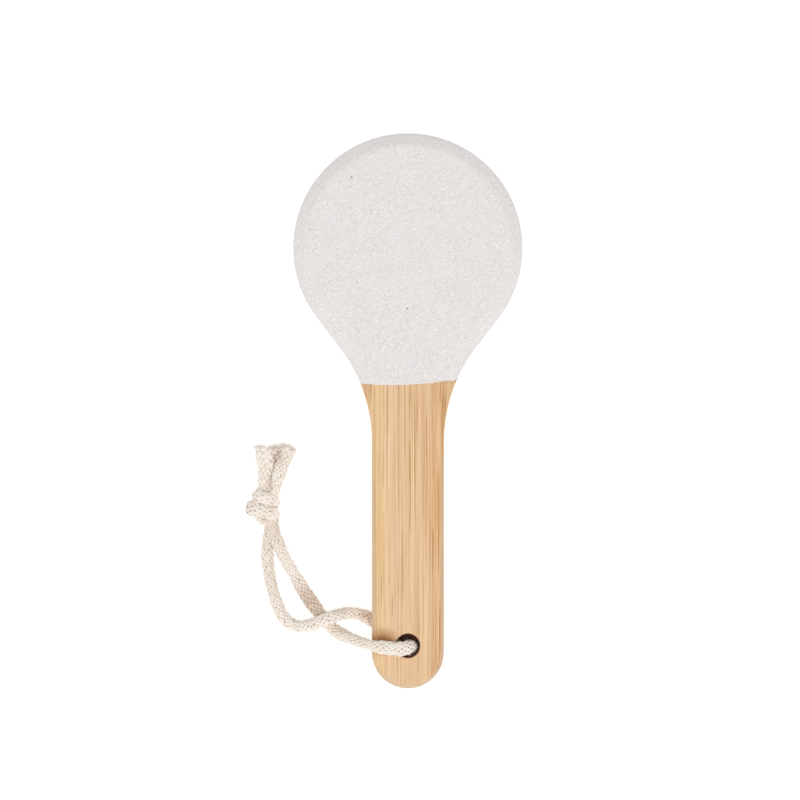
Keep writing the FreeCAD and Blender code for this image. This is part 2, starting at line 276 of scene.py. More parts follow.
def unit(rows):
    """The same directions with length 1."""
    return rows / np.maximum(np.linalg.norm(rows, axis=-1, keepdims=True), 1e-12)


def slow_waves(along, draw):
    """Values between about -1 and 1 that change slowly along a cord."""
    total = np.zeros_like(along)
    for length in WAVES:
        total += np.sin(math.tau * along / length + draw.uniform(0, math.tau))
    return total / math.sqrt(2 * len(WAVES)) * WAVE_SIZE


def yarn_width(pitch):
    """Width of a yarn that fills its share of the braid's wall."""
    round_cord = math.tau * BRAID_RADIUS
    return YARN_FILL * round_cord / CARRIERS * math.cos(math.atan(round_cord / pitch))


def yarn_centres(way, wide, tall, turning, number, pitch, draw):
    """Centre line of one yarn, its outward direction, and how far it has risen, from -1 to 1."""
    per_metre = math.tau / pitch
    along = way.along
    start = math.tau * number / CARRIERS
    angle = start + turning * per_metre * along + WANDER * slow_waves(along, draw)
    rise = turning * np.cos(along * CARRIERS * per_metre)
    radius = BRAID_RADIUS + YARN_RISE * rise
    across = (np.cos(angle) * wide)[:, None] * way.beside
    upward = (np.sin(angle) * tall)[:, None] * way.above
    centre = way.place + radius[:, None] * (across + upward)
    outward_across = (np.cos(angle) * tall)[:, None] * way.beside
    outward_upward = (np.sin(angle) * wide)[:, None] * way.above
    return centre, unit(outward_across + outward_upward), rise


def ovals(centre, across, over, half_width, half_height):
    """Rings of oval sections round a line."""
    sideways = (np.cos(YARN_TURN) * half_width)[..., None] * across[:, None, :]
    upright = (np.sin(YARN_TURN) * half_height)[..., None] * over[:, None, :]
    return centre[:, None, :] + sideways + upright


def yarn_rings(centre, outward, width, thickness, along):
    """Oval sections of a yarn, lobed by its plies, lying flat on the cord."""
    ahead = unit(np.gradient(centre, axis=0))
    outward = unit(outward - ahead * np.sum(outward * ahead, axis=1, keepdims=True))
    across = np.cross(ahead, outward)
    lobes = 1 + PLY_DEPTH * np.cos(PLIES * YARN_TURN + PLY_TWIST * along[:, None])
    return ovals(centre, across, outward, lobes * width[:, None] / 2, lobes * thickness[:, None] / 2)


print("yarn width in mm", round(yarn_width(BRAID_PITCH) / MM, 2))

# %% [markdown]
# ## Sixteen yarns and a core
# A real braid is hollow, but then light would come through the gaps, so a soft core fills it. Depth tells
# the finish how far in a place lies: little on a risen crown, more on a yarn's sides and where it dips under
# another, and more again on the core. The finish paints the deeper places darker, as painted shade.

# %% A braid along a walk
CORE_SHARE = 0.80
CORE_DEPTH = 0.55
SIDE_DEPTH = 0.12
LUMPS = 0.09
YARN_LUMPS = 0.10
CUT_FADE = 3.0 * MM
CUT_DEPTH = 0.3
LOOK_BACK = 3


def yarn_depth(rise):
    """How deep each vertex of a yarn lies, from 0 on a risen crown to 1 under a dip."""
    crown = np.sin(YARN_TURN)
    sides = SIDE_DEPTH * (1 - np.abs(crown))
    # Rise and crown each lie between -1 and 1, so their sum spans 4
    return 0.5 - (rise[:, None] + crown) / 4 + sides


def braid(weaver, way, widths, heights, draw, pitch=BRAID_PITCH, ragged=0, shade_share=1.0):
    """Sixteen yarns and a soft core along a walk. Widths and heights are the cord's, step by step.

    Ragged is how many steps at most a yarn stops short of the end, which also makes the end paler, with less
    painted shade. The last argument is how strongly the hollows between the yarns are painted in shade, from
    0 to 1.
    Gives back the cut end of each yarn and of the core: place, directions, half sizes.
    """
    along = way.along
    lumps = 1 + LUMPS * slow_waves(along, draw)
    wide = widths / CORD_WIDTH * lumps
    tall = heights / CORD_WIDTH
    girth = (wide + tall) / 2
    thickness = YARN_THICKNESS * np.minimum(1.0, tall)
    paler = np.full(len(along), shade_share)
    if ragged:
        paler *= np.clip((along[-1] - along) / CUT_FADE, CUT_DEPTH, 1.0)
    ends = []
    for turning in (1, -1):
        for number in range(CARRIERS):
            centre, outward, rise = yarn_centres(way, wide, tall, turning, number, pitch, draw)
            width = yarn_width(pitch) * girth * (1 + YARN_LUMPS * slow_waves(along, draw))
            rings = yarn_rings(centre, outward, width, thickness, along)
            depth = yarn_depth(rise) * paler[:, None]
            stop = len(rings) - (int(draw.integers(0, ragged)) if ragged else 0)
            turned = number + (CARRIERS if turning > 0 else 0)
            weaver.tube(rings[:stop], along[:stop], turned, depth[:stop])
            last = stop - 1
            ends.append((centre[last], unit(centre[last] - centre[last - LOOK_BACK]), outward[last],
                         width[last] / 2, thickness[last] / 2))
    core = BRAID_RADIUS * CORE_SHARE
    rings = ovals(way.place, way.beside, way.above, core * wide[:, None], core * tall[:, None])
    stop = len(rings) - ragged // 2
    last = stop - 1
    weaver.tube(rings[:stop], along[:stop], 2 * CARRIERS, np.repeat(CORE_DEPTH * paler[:stop], YARN_SIDES))
    ends.append((way.place[last], way.ahead[last], way.above[last], core * wide[last], core * tall[last]))
    return ends


def sizes_along(way, stations):
    """Width and height at each step, from stations of (place along, width, height) in mm."""
    table = np.array(stations) * MM
    widths = np.interp(way.along, table[:, 0], table[:, 1])
    heights = np.interp(way.along, table[:, 0], table[:, 2])
    return widths, heights


print("yarns in the cord:", 2 * CARRIERS)

# %% [markdown]
# ## Loose fibres
# Spun cotton is never smooth: short fibres stand off it all along. A hair system could grow them, but hairs
# aren't part of a mesh that is handed on. So each fibre is a thin tapering tube in the same mesh. A seeded
# draw gives its place, length and lean, so that it comes out alike every time.

# %% Hairs and fuzz
HAIR_TAPER = 0.7
HAIR_DEPTH = 0.1
ASKEW = (0.31, 0.17, 0.93)
FUZZ_PER_METRE = 15000
FUZZ_LENGTH = (0.5 * MM, 1.5 * MM)
# Width, sides round and steps along a fibre
FUZZ_SHAPE = (0.07 * MM, 3, 4)
FUZZ_ROOT = 0.44
FUZZ_LIFT = 0.45
FUZZ_SCATTER = 0.25
FUZZ_CURL = 0.2
FUZZ_NUMBER = 4 * CARRIERS


def hair(weaver, root, heading, curl, length, width, sides, steps, number):
    """One loose fibre: a thin tube that tapers and bends, and stays above the table."""
    share = np.linspace(0.0, 1.0, steps)
    centre = root + length * (share[:, None] * heading + (share ** 2)[:, None] * curl)
    centre[:, 2] = np.maximum(centre[:, 2], width)
    side = unit(np.cross(heading, ASKEW))
    over = np.cross(side, heading)
    turn = math.tau * np.arange(sides) / sides
    radius = width / 2 * (1.0 - HAIR_TAPER * share)
    rings = centre[:, None, :] + radius[:, None, None] * (
        np.cos(turn)[:, None] * side + np.sin(turn)[:, None] * over)
    weaver.tube(rings, length * share, number, np.full(rings.shape[:2], HAIR_DEPTH))


def fuzz(weaver, way, widths, heights, draw):
    """Short loose fibres that stand off the cord all along it."""
    for number in range(round(FUZZ_PER_METRE * way.along[-1])):
        step = int(draw.integers(0, len(way.along)))
        angle = draw.uniform(0, math.tau)
        across = math.cos(angle) * way.beside[step]
        upward = math.sin(angle) * way.above[step]
        root = way.place[step] + FUZZ_ROOT * (widths[step] * across + heights[step] * upward)
        lean = FUZZ_LIFT * (across + upward) + draw.uniform(-1, 1) * way.ahead[step]
        heading = unit(lean + draw.normal(0, FUZZ_SCATTER, 3))
        curl = draw.normal(0, FUZZ_CURL, 3)
        length = draw.uniform(*FUZZ_LENGTH)
        hair(weaver, root, heading, curl, length, *FUZZ_SHAPE, FUZZ_NUMBER + number)


print("loose fibres on 10 mm of cord:", round(FUZZ_PER_METRE * 10 * MM))

# %% [markdown]
# ## The two strands
# One strand comes up through the hole, is drawn thin over the handle's edge and lies flattened on the table.
# The other is pressed flat under the handle, rises over the first and lies round the outside of the loop.
# One width all along would look like wire, so stations give the width and height, in mm. Spots of painted
# shade darken the cord where it lies in shade: a spot has a place in mm from the hole, a reach to the side
# and up the picture, and a strength.

# %% Front and back strand
FRONT_SIZES = [
    (0, 3.9, 3.9), (7, 4.7, 3.9), (11, 5.4, 3.8), (16, 5.0, 3.6), (21, 3.7, 3.4), (25, 3.9, 3.8),
    (32, 4.4, 4.1), (40, 4.5, 3.9), (47, 5.2, 3.5), (53, 5.0, 3.6), (60, 4.4, 4.0), (90, 4.2, 4.1),
]
BACK_SIZES = [
    (0, 3.6, 3.4), (3, 4.6, 2.9), (6, 6.4, 2.1), (9, 6.4, 2.1), (15.4, 5.4, 2.0), (21, 5.0, 2.1),
    (24.4, 4.5, 3.1), (27.6, 4.2, 4.0), (40.4, 4.5, 4.1), (48.4, 4.4, 4.1), (62.4, 4.3, 4.0), (92, 4.2, 4.1),
]
# Spots of painted shade on the strands: place and reaches in mm, and strength
FRONT_SHADE_SPOTS = [
    (-32.8, 14.6, 6.0, 6.0, 0.95),
    (-23.5, 5.8, 3.0, 2.0, 0.5),
    (-13.5, 3.0, 3.0, 1.2, 0.4),
    (-46.2, 40.0, 8.0, 8.5, 0.34),
]
BACK_SHADE_SPOTS = [
    (-14.0, 10.0, 3.0, 2.4, 0.85),
    (-24.0, 12.0, 4.0, 1.5, 0.3),
    (-46.5, 20.0, 6.0, 9.0, 0.14),
    (-46.2, 40.0, 8.0, 8.5, 0.34),
]
# How strongly the hollows of each strand are painted in shade
FRONT_HOLLOW_SHADE = 0.76
BACK_HOLLOW_SHADE = 0.92


def strand(name, way, stations, spots, shade_share, seed):
    """One braided strand with its fuzz and its spots of painted shade."""
    weaver = Weaver()
    draw = np.random.default_rng(seed)
    sizes = sizes_along(way, stations)
    braid(weaver, way, *sizes, draw, shade_share=shade_share)
    fuzz(weaver, way, *sizes, draw)
    return weaver.mesh(name, spots)


front_strand = strand("front_strand", front_walk, FRONT_SIZES, FRONT_SHADE_SPOTS, FRONT_HOLLOW_SHADE, 1)
back_strand = strand("back_strand", back_walk, BACK_SIZES, BACK_SHADE_SPOTS, BACK_HOLLOW_SHADE, 2)

# %% [markdown]
# ## The knot
# Both strands are tied together in one overhand knot. From above it shows as two plump bands that slant
# down to the right, with a small bight below them on the left. Pulling a real knot tight would need a
# simulation, so the bands follow a spiral round the strands, the form that the doubled turn takes in the
# end. In its lower band the spiral reaches farther to the left, and the cord swells there.

# %% The knot's spiral
KNOT_X = -48.3 * MM
KNOT_Z = 4.95 * MM
KNOT_HEIGHT = 2.75 * MM
KNOT_ROUND = 3.4 * MM
KNOT_PITCH = 4.5 * MM
LOWER_BAND = 45.3 * MM
BAND_TOP = 90
KNOT_TURN = (-110, 600)
KNOT_STEPS = 110
# Reach to the side of the spiral, in mm, at each angle in degrees
KNOT_REACH = [(-110, 2.6), (0, 2.8), (90, 3.6), (180, 4.4), (270, 3.4),
              (360, 2.7), (450, 3.0), (540, 2.3), (600, 0.6)]


def knot_line():
    """A spiral that starts and ends tucked in under its own bands."""
    degrees = np.linspace(*KNOT_TURN, KNOT_STEPS)
    table = np.array(KNOT_REACH)
    reach = np.interp(degrees, table[:, 0], table[:, 1]) * MM
    height = np.clip(reach / KNOT_ROUND, 0.0, 1.0) * KNOT_HEIGHT
    angle = np.radians(degrees)
    x = HOLE.x + KNOT_X + reach * np.cos(angle)
    y = HOLE.y + LOWER_BAND + KNOT_PITCH * (degrees - BAND_TOP) / 360
    z = KNOT_Z + height * np.sin(angle)
    return np.stack([x, y, z], axis=1)


knot_walk = walk(knot_line())
print("cord in the knot", round(knot_walk.along[-1], 4))

# %% [markdown]
# ## Bands and bight
# The spiral is braided like the strands, with a longer pitch, because its yarns are drawn tight. Its two
# ends close to round tips that stay hidden in the knot. The bight is a short thin cord of its own: bending
# the spiral to show it would spoil the bands.

# %% Two slanting bands and a bight
KNOT_BRAID_PITCH = 22.0 * MM
KNOT_WIDTH = 4.7 * MM
KNOT_THICKNESS = 4.3 * MM
KNOT_END = 2.6 * MM
KNOT_TIP = 0.02
KNOT_BULGE = 4.4 * MM
KNOT_PLUMP = 0.28
# How strongly the knot's hollows are painted in shade
KNOT_HOLLOW_SHADE = 0.56
# Spots of painted shade in the knot
KNOT_SHADE_SPOTS = [(-48.8, 42.6, 1.5, 1.3, 0.45), (-53.4, 46.4, 1.6, 2.4, 0.25)]
BIGHT_WIDTH = 3.1 * MM
BIGHT_ROUTE = [
    (-45.8, 41.6, 3.0), (-48.0, 41.7, 4.2), (-50.3, 42.5, 5.0), (-50.8, 44.6, 3.8),
    (-48.2, 46.0, 3.0),
]

knot_along = knot_walk.along
from_end = np.minimum(knot_along, knot_along[-1] - knot_along)
to_tip = 1.0 - np.clip(from_end / KNOT_END, 0.0, 1.0)
rounded = np.sqrt(np.clip(1.0 - to_tip ** 2, KNOT_TIP, 1.0))
leftward = np.clip((HOLE.x + KNOT_X - knot_walk.place[:, 0]) / KNOT_BULGE, 0.0, 1.0)
knot_sizes = (KNOT_WIDTH * rounded * (1 + KNOT_PLUMP * leftward), KNOT_THICKNESS * rounded)
bight_walk = walk(smooth_line("bight_way", BIGHT_ROUTE))
bight_sizes = [np.full(len(bight_walk.along), BIGHT_WIDTH)] * 2

knot_weaver = Weaver()
knot_draw = np.random.default_rng(3)
bands = (knot_walk, knot_sizes, KNOT_BRAID_PITCH)
bight = (bight_walk, bight_sizes, BRAID_PITCH)
for way, sizes, pitch in (bands, bight):
    braid(knot_weaver, way, *sizes, knot_draw, pitch, shade_share=KNOT_HOLLOW_SHADE)
    fuzz(knot_weaver, way, *sizes, knot_draw)
knot = knot_weaver.mesh("overhand_knot", KNOT_SHADE_SPOTS)

# %% [markdown]
# ## The cut ends
# Above the knot the two ends were cut and have opened: the left one into a wide brush, the right one a
# little. Flat caps would close them, but cut cotton frays. The braid grows wider there, its yarns stop at
# uneven lengths, and loose fibres stand out of every yarn and of the core. A notch parts the left brush.

# %% Frayed fibres
FIBRES_PER_YARN = 22
CORE_FIBRES = 130
FIBRE_LENGTH = (0.8 * MM, 1.9 * MM)
FIBRE_SHAPE = (0.11 * MM, 4, 5)
FIBRE_ROOT = 0.5 * MM
FIBRE_LEAN = 0.28
FIBRE_LIFT = 0.2
FIBRE_SCATTER = 0.1
FIBRE_CURL = 0.15
NOTCH_X = -47.9 * MM
NOTCH_WIDTH = 1.0 * MM
NOTCH_DEPTH = 0.7


def fray(weaver, ends, notched, draw):
    """A brush of loose fibres out of every cut yarn and the core, shorter at the notch."""
    number = 3 * CARRIERS
    for end, ahead, outward, half_width, half_height in ends:
        across = np.cross(ahead, outward)
        for _ in range(CORE_FIBRES if end is ends[-1][0] else FIBRES_PER_YARN):
            number += 1
            sideways, upright = draw.uniform(-1, 1, 2)
            length = draw.uniform(*FIBRE_LENGTH)
            root = end + across * sideways * half_width + outward * upright * half_height
            if notched:
                from_notch = (root[0] - HOLE.x - NOTCH_X) / NOTCH_WIDTH
                length *= 1.0 - NOTCH_DEPTH * math.exp(-from_notch ** 2)
            lean = across * sideways * FIBRE_LEAN + outward * upright * FIBRE_LIFT
            heading = unit(ahead + lean + draw.normal(0, FIBRE_SCATTER, 3))
            curl = draw.normal(0, FIBRE_CURL, 3)
            hair(weaver, root - ahead * FIBRE_ROOT, heading, curl, length, *FIBRE_SHAPE, number)


print("fibres out of one cut end:", 2 * CARRIERS * FIBRES_PER_YARN + CORE_FIBRES)

# %% Tails with frayed ends
LEFT_TAIL_ROUTE = [
    (-48.6, 48.6, 4.4), (-48.6, 53.0, 4.6), (-48.3, 58.2, 3.8), (-47.5, 62.6, 3.1),
    (-47.6, 67.2, 2.8),
]
RIGHT_TAIL_ROUTE = [
    (-46.6, 48.6, 5.2), (-45.4, 53.0, 5.6), (-43.4, 58.2, 5.4), (-41.8, 63.2, 4.6),
    (-40.6, 67.2, 3.8),
]
LEFT_TAIL_SIZES = [(0, 4.2, 4.2), (6, 4.7, 4.4), (10.7, 5.5, 4.4),
                   (14, 7.8, 4.4), (17.7, 10.2, 4.4), (19, 10.9, 4.4)]
RIGHT_TAIL_SIZES = [(0, 4.2, 4.2), (6, 4.6, 4.2), (11, 4.9, 4.2), (15, 5.2, 4.2), (20, 6.0, 4.4)]
# Spots of painted shade where the tails meet the knot and lie in each other's shade
LEFT_TAIL_SHADE_SPOTS = [
    (-43.7, 65.2, 2.0, 2.6, 0.55),
    (-44.9, 62.0, 1.1, 2.4, 0.9),
    (-46.6, 54.6, 0.9, 2.4, 0.7),
]
RIGHT_TAIL_SHADE_SPOTS = [(-43.4, 64.6, 1.2, 3.2, 0.6), (-46.4, 53.6, 0.8, 2.0, 0.7)]
TAIL_PITCH = 19.0 * MM
# How strongly the tails' hollows are painted in shade
TAIL_HOLLOW_SHADE = 0.60
RAGGED = 8


def tail(name, route, stations, spots, notched, seed):
    """One cut end: a braid that opens, with frayed fibres, fuzz and spots of painted shade."""
    way = walk(smooth_line(name, route))
    weaver = Weaver()
    draw = np.random.default_rng(seed)
    sizes = sizes_along(way, stations)
    ends = braid(weaver, way, *sizes, draw, TAIL_PITCH, RAGGED, TAIL_HOLLOW_SHADE)
    fray(weaver, ends, notched, draw)
    fuzz(weaver, way, *sizes, draw)
    return weaver.mesh(name, spots)


left_tail = tail("left_tail", LEFT_TAIL_ROUTE, LEFT_TAIL_SIZES, LEFT_TAIL_SHADE_SPOTS, True, 11)
right_tail = tail("right_tail", RIGHT_TAIL_ROUTE, RIGHT_TAIL_SIZES, RIGHT_TAIL_SHADE_SPOTS, False, 12)

# %% [markdown]
# ## The abrasive coat
# The head is covered with pale mineral grit. A bump alone would leave the outline smooth, so each half is a
# copy of the solid one, rebuilt as a net of small faces and pushed in and out by two cloud textures: coarse
# grains and slow unevenness. First its end is moved a little over the wood, and its edge at the middle of
# the rim a little into the other half, so that no gap shows.

# %% Gritty copies of the two halves
DOUBLES = 0.002 * MM
GRIT_NET = 0.46 * MM
GRIT = [("grains", 0.62 * MM, 0.13 * MM), ("unevenness", 6.0 * MM, 0.08 * MM)]
GRIT_DETAIL = 2
LAP = 0.4 * MM
SEAM_REACH = 8.0 * MM
RIM_REACH = 0.3 * MM
FACING = 0.9


def in_edit_mode(operator, **options):
    """One step on the active piece's mesh."""
    bpy.ops.object.mode_set(mode="EDIT")
    operator(**options)
    bpy.ops.object.mode_set(mode="OBJECT")


def move_faces(piece, wanted, step):
    """Moves the faces that are wanted, and takes their neighbours' edges along."""
    in_edit_mode(bpy.ops.mesh.select_all, action="DESELECT")
    for face in piece.data.polygons:
        face.select = wanted(face)
    in_edit_mode(bpy.ops.transform.translate, value=step)


def merged_copy(name, node):
    """A copy of a solid's mesh with its doubled vertices merged, selected and active."""
    source = frame["nodes"][node]
    piece = source.copy()
    piece.data = source.data.copy()
    piece.name = name
    piece.parent = None
    bpy.context.collection.objects.link(piece)
    bpy.ops.object.select_all(action="DESELECT")
    piece.select_set(True)
    bpy.context.view_layer.objects.active = piece
    in_edit_mode(bpy.ops.mesh.select_all, action="SELECT")
    in_edit_mode(bpy.ops.mesh.remove_doubles, threshold=DOUBLES)
    return piece


def gritty_half(name, node, inward):
    """One half of the coat. Inward is -1 or 1, the way along Z to the other half."""
    piece = merged_copy(name, node)
    seam = min(vertex.co.y for vertex in piece.data.vertices) + SEAM_REACH
    move_faces(piece, lambda face: face.normal.y < -FACING and face.center.y < seam, (0, -LAP, 0))

    def at_rim(face):
        return face.normal.z * inward > FACING and abs(face.center.z - board_middle) < RIM_REACH

    move_faces(piece, at_rim, (0, 0, inward * LAP))
    net = piece.modifiers.new("net", "REMESH")
    net.mode = "VOXEL"
    net.voxel_size = GRIT_NET
    net.use_smooth_shade = True
    bpy.ops.object.modifier_apply(modifier="net")
    for texture_name, grain, height in GRIT:
        clouds = bpy.data.textures.new(f"{name}_{texture_name}", "CLOUDS")
        clouds.noise_scale = grain
        clouds.noise_depth = GRIT_DETAIL
        push = piece.modifiers.new(texture_name, "DISPLACE")
        push.texture = clouds
        push.texture_coords = "LOCAL"
        push.strength = height
        bpy.ops.object.modifier_apply(modifier=texture_name)
    print(name, "faces", len(piece.data.polygons))
    return piece


front_coat = gritty_half("gritty_front", "abrasive_coat_front", -1)
back_coat = gritty_half("gritty_back", "abrasive_coat_back", 1)

# %% [markdown]
# ## Finishes: small helpers
# Every finish is a node tree. Placing nodes one by one takes many lines, so helpers keep the trees
# readable. One adds a node, sets its options and fills its inputs. The rest make what comes up again:
# noise, a stretched range, a mix of two colours, the distance from a place. A socket knows its tree, so
# they needn't be told.


# %% Nodes and their inputs
def fill(socket, value):
    """Links an output to an input, or sets the input to a plain value."""
    if isinstance(value, bpy.types.NodeSocket):
        socket.id_data.links.new(value, socket)
    else:
        socket.default_value = value


def plug(made, **inputs):
    """Fills a node's inputs, by their names without spaces."""
    for socket in made.inputs:
        key = socket.name.replace(" ", "")
        if key in inputs and socket.enabled:
            fill(socket, inputs.pop(key))
    if inputs:
        raise ValueError(f"{made.name} has no inputs {sorted(inputs)}")


def add(tree, kind, options=None, **inputs):
    """A shader node with its options set and its inputs filled."""
    made = tree.nodes.new(f"ShaderNode{kind}")
    for option, value in (options or {}).items():
        setattr(made, option, value)
    plug(made, **inputs)
    return made


def out(made, name):
    """The output of a node that has this name and is in use."""
    return next(socket for socket in made.outputs if socket.name == name and socket.enabled)


print("helpers for nodes: fill, plug, add, out")


# %% Values and colours
def mapped(vector, fineness, shift):
    """Coordinates scaled by a fineness on each axis, then shifted."""
    made = add(vector.id_data, "Mapping", Vector=vector, Location=shift, Scale=fineness)
    return out(made, "Vector")


def noise(vector, fineness, shift=(0, 0, 0), detail=2.0):
    """Noise whose grains are one over the fineness long on each axis."""
    moved = mapped(vector, fineness, shift)
    made = add(moved.id_data, "TexNoise", Vector=moved, Scale=1.0, Detail=detail)
    return out(made, "Fac")


def spread(value, low, high, to_low=0.0, to_high=1.0):
    """A value stretched from one range to another, and held inside it."""
    made = add(value.id_data, "MapRange", {"interpolation_type": "SMOOTHSTEP"},
               Value=value, FromMin=low, FromMax=high, ToMin=to_low, ToMax=to_high)
    return out(made, "Result")


def blend(factor, first, second, way="MIX"):
    """Two colours mixed by a factor."""
    options = {"data_type": "RGBA", "blend_type": way}
    made = add(factor.id_data, "Mix", options, Factor=factor, A=first, B=second)
    return out(made, "Result")


def maths(operation, first, second=0.0):
    """A sum, a product or the like of two values, at least one of them an output."""
    known = first if isinstance(first, bpy.types.NodeSocket) else second
    made = add(known.id_data, "Math", {"operation": operation})
    for socket, value in zip(made.inputs, (first, second)):
        fill(socket, value)
    return out(made, "Value")


def part(vector, axis):
    """One coordinate of a vector."""
    return out(add(vector.id_data, "SeparateXYZ", Vector=vector), axis)


def channels(colour):
    """The red, green and blue of a colour, which serve as three random values."""
    made = add(colour.id_data, "SeparateColor", Color=colour)
    return out(made, "Red"), out(made, "Green"), out(made, "Blue")


def distance(coordinates, x, y, reach=(1.0, 1.0)):
    """Distance in plan from a place, counted in reaches along each axis."""
    wide, long = reach
    moved = mapped(coordinates, (1 / wide, 1 / long, 0), (-x / wide, -y / long, 0))
    return out(add(moved.id_data, "VectorMath", {"operation": "LENGTH"}, Vector=moved), "Value")


print("helpers for values: mapped, noise, spread, blend, maths, part, channels, distance")


# %% Whole finishes
def facing_up(tree):
    """How far a face looks up, from -1 to 1."""
    return part(out(add(tree, "NewGeometry"), "True Normal"), "Z")


def bump(height, strength, depth):
    """Fine relief, for the shader's normal."""
    made = add(height.id_data, "Bump", Height=height, Strength=strength, Distance=depth)
    return out(made, "Normal")


def new_material(name):
    """An empty material, with its tree, its shader and the object's coordinates."""
    material = bpy.data.materials.new(name)
    material.use_nodes = True
    tree = material.node_tree
    coordinates = out(add(tree, "TexCoord"), "Object")
    return material, tree, tree.nodes["Principled BSDF"], coordinates


def wear(piece, material):
    """Gives a piece one finish."""
    piece.data.materials.clear()
    piece.data.materials.append(material)


print("helpers for finishes: facing_up, bump, new_material, wear")

# %% [markdown]
# ## Bamboo fibres
# Bamboo has no rings. It is full of straight fibres, seen as fine light and dark lines along the grain.
# Stretched noise would give soft clouds, so the fibres are long cells of three sizes with random values,
# and noise only breaks up the dark lines. The tapering handle's faces would cut slantwise through the
# cells, so the coordinates are levelled first.

# %% Coordinates along the taper, and cells
HANDLE_START = 8.9 * MM
TAPER = 0.0311
WALL_SHARE = 0.4


def along_taper(vector):
    """Coordinates in which the faces of the tapering handle are level."""
    x, y, z = (part(vector, axis) for axis in "XYZ")
    off_middle = maths("ABSOLUTE", maths("SUBTRACT", z, board_middle))
    beyond = maths("MAXIMUM", maths("SUBTRACT", HANDLE_START, y), 0.0)
    level = maths("ADD", off_middle, maths("MULTIPLY", beyond, TAPER))
    flatter = maths("ADD", maths("MULTIPLY", level, WALL_SHARE), board_middle * (1 - WALL_SHARE))
    return out(add(vector.id_data, "CombineXYZ", X=x, Y=y, Z=flatter), "Vector")


def bundles(vector, fineness, shift):
    """Three random values for each long fibre bundle."""
    moved = mapped(vector, fineness, shift)
    cells = add(moved.id_data, "TexVoronoi", Vector=moved, Scale=1.0)
    return channels(out(cells, "Color"))


print("the handle loses", round(TAPER * 10, 2), "mm on each face in 10 mm")

# %% [markdown]
# ## The fibre group
# All strips share one node group for the fibres: copied into every finish, each change would have to be
# made many times. A strip gives it its own tones and its own piece of the pattern. Each share below is a
# range of a random value, and how strongly a tint shows at the two ends of it.

# %% Fibre group
# Fineness of the broad, middle and fine bundles, and their weights in the tone
BUNDLES = [((620, 6.0, 620), 0.16), ((2900, 14.0, 2900), 0.42), ((4100, 26.0, 4100), 0.42)]
BREAKS = (1500, 46, 1500)
PORES = (2600, 130, 2600)
MIXED_SHARE = (0.20, 0.78)
BLUSH = (0.86, 0.545, 0.375, 1.0)
BLUSH_SHARE = (0.60, 0.85, 0.0, 0.30)
STRAW = (0.87, 0.635, 0.340, 1.0)
STRAW_SHARE = (0.65, 0.85, 0.0, 0.30)
ORANGE_SHARE = (0.80, 0.90, 0.0, 0.50)
PALE_SHARE = (0.84, 0.92, 0.0, 0.45)
DARK_SHARE = (0.64, 0.74)
BREAK_SHARE = (0.42, 0.52, 0.1, 0.85)
LIGHT_SHARE = (0.84, 0.90, 0.0, 0.60)
PORE_SHARE = (0.62, 0.74, 0.0, 0.45)
BAMBOO_ROUGHNESS = (0.0, 1.0, 0.46, 0.62)
GROUP_SOCKETS = [
    ("INPUT", "Vector", ("Vector", "Shift")),
    ("INPUT", "Color", ("Light", "Dark", "Line")),
    ("OUTPUT", "Color", ("Color",)),
    ("OUTPUT", "Float", ("Roughness", "Height")),
]

fibre_group = bpy.data.node_groups.new("bamboo_fibres", "ShaderNodeTree")
for side, kind, labels in GROUP_SOCKETS:
    for label in labels:
        fibre_group.interface.new_socket(label, in_out=side, socket_type=f"NodeSocket{kind}")


def draw_fibres(tree):
    """Fills the group: a colour, a roughness and a height from the place on the board."""
    given = tree.nodes.new("NodeGroupInput")
    shift, light, dark, line = (out(given, label) for label in ("Shift", "Light", "Dark", "Line"))
    vector = along_taper(out(given, "Vector"))
    mixed = 0.0
    tints = []
    for fineness, weight in BUNDLES:
        value, *others = bundles(vector, fineness, shift)
        mixed = maths("ADD", mixed, maths("MULTIPLY", value, weight))
        tints += others
    fine_value = value
    blush, straw, orange_line, pale_line, dark_line, light_line = tints
    broken = noise(vector, BREAKS, shift, 1.0)
    pores = noise(vector, PORES, shift)
    tone = blend(spread(mixed, *MIXED_SHARE), dark, light)
    tone = blend(spread(blush, *BLUSH_SHARE), tone, BLUSH)
    tone = blend(spread(straw, *STRAW_SHARE), tone, STRAW)
    tone = blend(spread(orange_line, *ORANGE_SHARE), tone, dark)
    tone = blend(spread(pale_line, *PALE_SHARE), tone, light)
    dashes = maths("MULTIPLY", spread(dark_line, *DARK_SHARE), spread(broken, *BREAK_SHARE))
    tone = blend(dashes, tone, line)
    tone = blend(spread(light_line, *LIGHT_SHARE), tone, light)
    tone = blend(spread(pores, *PORE_SHARE), tone, line)
    plug(tree.nodes.new("NodeGroupOutput"), Color=tone, Height=maths("ADD", fine_value, pores),
         Roughness=spread(fine_value, *BAMBOO_ROUGHNESS))


draw_fibres(fibre_group)
print("fibre group nodes", len(fibre_group.nodes))

# %% [markdown]
# ## Bamboo strips
# Each strip has its own tone, and over the fibres come the marks of making and use: an end worn to an even
# tone and two tinted streaks. The bevels are duller and greyer by their slope. Two marks are painted shade.
# The hole's wall is painted dark brown, mostly for the shade deep in the hole, with some scorch from
# drilling. A warm brown patch beside the hole, where the cord lies, is the cord's painted shadow. Painted
# textures could hold all this, but places and slopes of the board are enough to say where each mark is.

